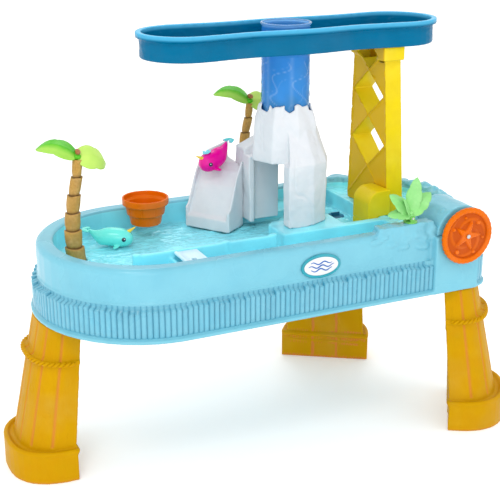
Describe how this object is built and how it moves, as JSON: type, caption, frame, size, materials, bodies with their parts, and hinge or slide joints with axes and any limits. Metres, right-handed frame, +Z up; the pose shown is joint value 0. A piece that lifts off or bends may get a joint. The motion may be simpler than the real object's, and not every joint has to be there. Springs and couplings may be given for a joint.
{
  "type": "sand and water table",
  "caption": "Round-ended water play table on splayed legs, with a paddle wheel, a raised rain tray, a waterfall tower and slide, palms, a bucket and floating toys.",
  "frame": {"origin": "centre of the table's footprint, on the floor", "axes": "+X along the table's long side towards the paddle wheel's end, +Y to the back of the table, +Z up"},
  "size_m": [1.1432, 0.6278, 0.9043],
  "materials": {
    "aqua_plastic": "glossy moulded aqua polypropylene",
    "navy_plastic": "smooth navy moulding",
    "frost_plastic": "satin translucent white moulding",
    "badge_plastic": "gloss two-tone plaque",
    "ochre_plastic": "moulded ochre yellow with a fine plank texture",
    "orange_plastic": "gloss orange moulding",
    "axle_plastic": "dark moulded plastic",
    "white_plastic": "satin white moulding with a rock texture",
    "blue_plastic": "gloss deep blue moulding",
    "yellow_plastic": "satin yellow moulding",
    "leaf_light": "satin light green moulding",
    "leaf_dark": "satin dark green moulding",
    "trunk_brown": "satin brown moulding with bark rings",
    "palm_green": "satin green moulding",
    "coconut_brown": "satin brown moulding",
    "teal_plastic": "gloss teal moulding",
    "pink_plastic": "gloss pink moulding",
    "horn_yellow": "gloss yellow moulding",
    "eye_dark": "gloss near-black print",
    "crown_teal": "gloss pale teal moulding",
    "clear_blue": "transparent blue moulding with swirling relief",
    "steel": "zinc-plated screw or pin"
  },
  "bodies": {
    "table": {"basin": "aqua_plastic", "gate_pins": "steel", "badge": "badge_plastic", "left_leg": "ochre_plastic", "front_leg": "ochre_plastic", "rear_leg": "ochre_plastic", "leg_screws": "steel", "wheel_cover": "aqua_plastic", "cover_screws": "steel", "tower": "white_plastic", "slide": "white_plastic", "tower_screws": "steel", "waterfall_tube": "clear_blue", "rain_tray": "blue_plastic", "lattice_column": "yellow_plastic", "spout_hood": "yellow_plastic", "column_screws": "steel", "flinger_base": "leaf_dark", "flinger_pin": "steel", "front_palm_trunk": "trunk_brown", "front_palm_leaves": "palm_green", "front_palm_coconuts": "coconut_brown", "rear_palm_trunk": "trunk_brown", "rear_palm_leaves": "palm_green", "rear_palm_coconuts": "coconut_brown"},
    "plug": {"drain_plug": "navy_plastic"},
    "gate": {"river_gate": "frost_plastic"},
    "wheel": {"wave_wheel": "orange_plastic", "wheel_axle": "axle_plastic", "wheel_screw": "orange_plastic", "paddle_wheel": "orange_plastic", "axle_clip": "steel"},
    "flinger": {"leaf_flinger": "leaf_light"},
    "pail": {"bucket": "orange_plastic"},
    "teal_toy": {"teal_body": "teal_plastic", "teal_horn": "horn_yellow", "teal_eyes": "eye_dark"},
    "pink_toy": {"pink_body": "pink_plastic", "pink_horn": "horn_yellow", "pink_eyes": "eye_dark", "pink_crown": "crown_teal"}
  },
  "joints": [
    {"name": "wave_wheel_spin", "type": "hinge", "parent": "table", "child": "wheel", "pos_m": [0.39745, -0.2832, 0.467], "axis": [0, -1, 0], "continuous": true},
    {"name": "leaf_flick", "type": "hinge", "parent": "table", "child": "flinger", "pos_m": [0.28145, -0.2312, 0.511], "axis": [0, 1, 0], "range_deg": [0, 24], "stiffness_Nm_per_rad": 0.4, "springref_deg": -11.46},
    {"name": "river_gate_lift", "type": "hinge", "parent": "table", "child": "gate", "pos_m": [-0.21255, -0.1612, 0.468], "axis": [0, -1, 0], "range_deg": [0, 88]},
    {"name": "drain_plug_pull", "type": "slide", "parent": "table", "child": "plug", "axis": [0, 0, 1], "range_m": [0, 0.03]},
    {"name": "bucket_lift", "type": "slide", "parent": "table", "child": "pail", "axis": [0, 0, 1], "range_m": [0, 0.09]},
    {"name": "teal_toy_lift", "type": "slide", "parent": "table", "child": "teal_toy", "axis": [0, 0, 1], "range_m": [0, 0.08]},
    {"name": "pink_toy_lift", "type": "slide", "parent": "table", "child": "pink_toy", "axis": [0, 0, 1], "range_m": [0, 0.08]}
  ]
}
